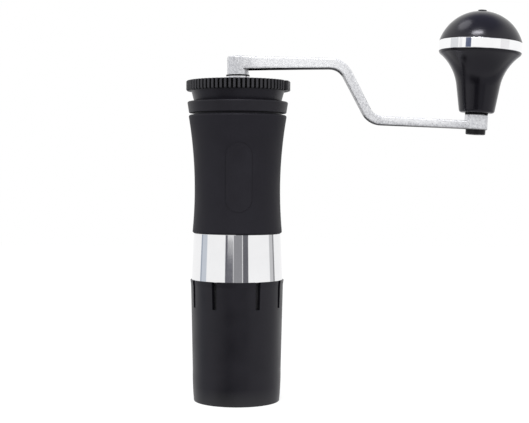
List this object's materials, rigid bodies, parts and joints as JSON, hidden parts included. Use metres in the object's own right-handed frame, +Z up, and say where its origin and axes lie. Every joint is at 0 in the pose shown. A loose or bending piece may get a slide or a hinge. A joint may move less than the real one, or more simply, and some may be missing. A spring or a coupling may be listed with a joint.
{
  "type": "hand crank coffee grinder",
  "caption": "Upright hand grinder with a slit cup, bright steel body, waisted rubber grip, ribbed lid and a cranked arm with a domed knob that turns a conical burr.",
  "frame": {"origin": "centre of the cup's flat foot, on the table, on the grinding axis", "axes": "+Z up along the grinding axis, +X along the crank arm at rest, the badge to -Y"},
  "size_m": [0.2003, 0.0616, 0.2347],
  "materials": {
    "cup_plastic": "satin moulded",
    "polished_steel": "mirror polished",
    "grip_rubber": "soft touch",
    "black_plastic": "satin moulded",
    "gloss_black": "gloss moulded",
    "burr_steel": "ground",
    "shaft_steel": "turned",
    "bridge_alloy": "cast",
    "arm_alloy": "bead blasted, satin",
    "bush_brass": "turned",
    "bright_ring": "polished"
  },
  "bodies": {
    "cup": {"grounds_cup": "cup_plastic"},
    "body": {"body_tube": "polished_steel", "grip_sleeve": "grip_rubber", "grip_badge": "grip_rubber", "hopper_collar": "black_plastic", "burr_housing": "black_plastic", "burr_lock_ring": "bridge_alloy", "outer_burr": "burr_steel", "lower_bridge": "bridge_alloy", "upper_bridge": "bridge_alloy", "lower_bearing_outer_race": "shaft_steel", "lower_bearing_balls": "shaft_steel", "upper_bearing_outer_race": "shaft_steel", "upper_bearing_balls": "shaft_steel"},
    "spindle": {"drive_shaft": "shaft_steel", "lower_bearing_inner_race": "shaft_steel", "upper_bearing_inner_race": "shaft_steel"},
    "burr": {"inner_burr": "burr_steel", "burr_spring": "shaft_steel"},
    "dial": {"grind_dial": "black_plastic"},
    "lid": {"hopper_lid": "black_plastic", "lid_neck": "gloss_black", "lid_bush": "bright_ring"},
    "crank": {"crank_arm": "arm_alloy", "drive_socket": "shaft_steel", "socket_clip": "shaft_steel", "hub_washer": "gloss_black", "knob_axle": "gloss_black", "knob_washer": "gloss_black", "axle_nut": "shaft_steel"},
    "knob": {"knob_grip": "black_plastic", "knob_band": "bright_ring", "knob_dome": "black_plastic", "knob_plug": "gloss_black", "knob_bushes": "bush_brass"}
  },
  "joints": [
    {"name": "body_lift", "type": "slide", "parent": "cup", "child": "body", "axis": [0, 0, 1], "range_m": [0, 0.04]},
    {"name": "lid_lift", "type": "slide", "parent": "body", "child": "lid", "axis": [0, 0, 1], "range_m": [0, 0.04]},
    {"name": "crank_turn", "type": "hinge", "parent": "lid", "child": "crank", "pos_m": [0, 0, 0.19], "axis": [0, 0, 1], "continuous": true},
    {"name": "knob_spin", "type": "hinge", "parent": "crank", "child": "knob", "pos_m": [0.1427, 0, 0.16765], "axis": [0.0489, 0, 0.9988], "continuous": true},
    {"name": "spindle_turn", "type": "hinge", "parent": "body", "child": "spindle", "pos_m": [0, 0, 0.13], "axis": [0, 0, 1], "continuous": true},
    {"name": "burr_travel", "type": "slide", "parent": "spindle", "child": "burr", "axis": [0, 0, 1], "range_m": [-0.0015, 0], "deforming": ["burr_spring"]},
    {"name": "dial_turn", "type": "hinge", "parent": "burr", "child": "dial", "pos_m": [0, 0, 0.065], "axis": [0, 0, 1], "range_deg": [-720, 0]}
  ],
  "couplings": [
    {"joint": "spindle_turn", "follows": "crank_turn", "ratio": 1},
    {"joint": "dial_turn", "follows": "burr_travel", "rad_per_m": 8377.5}
  ]
}
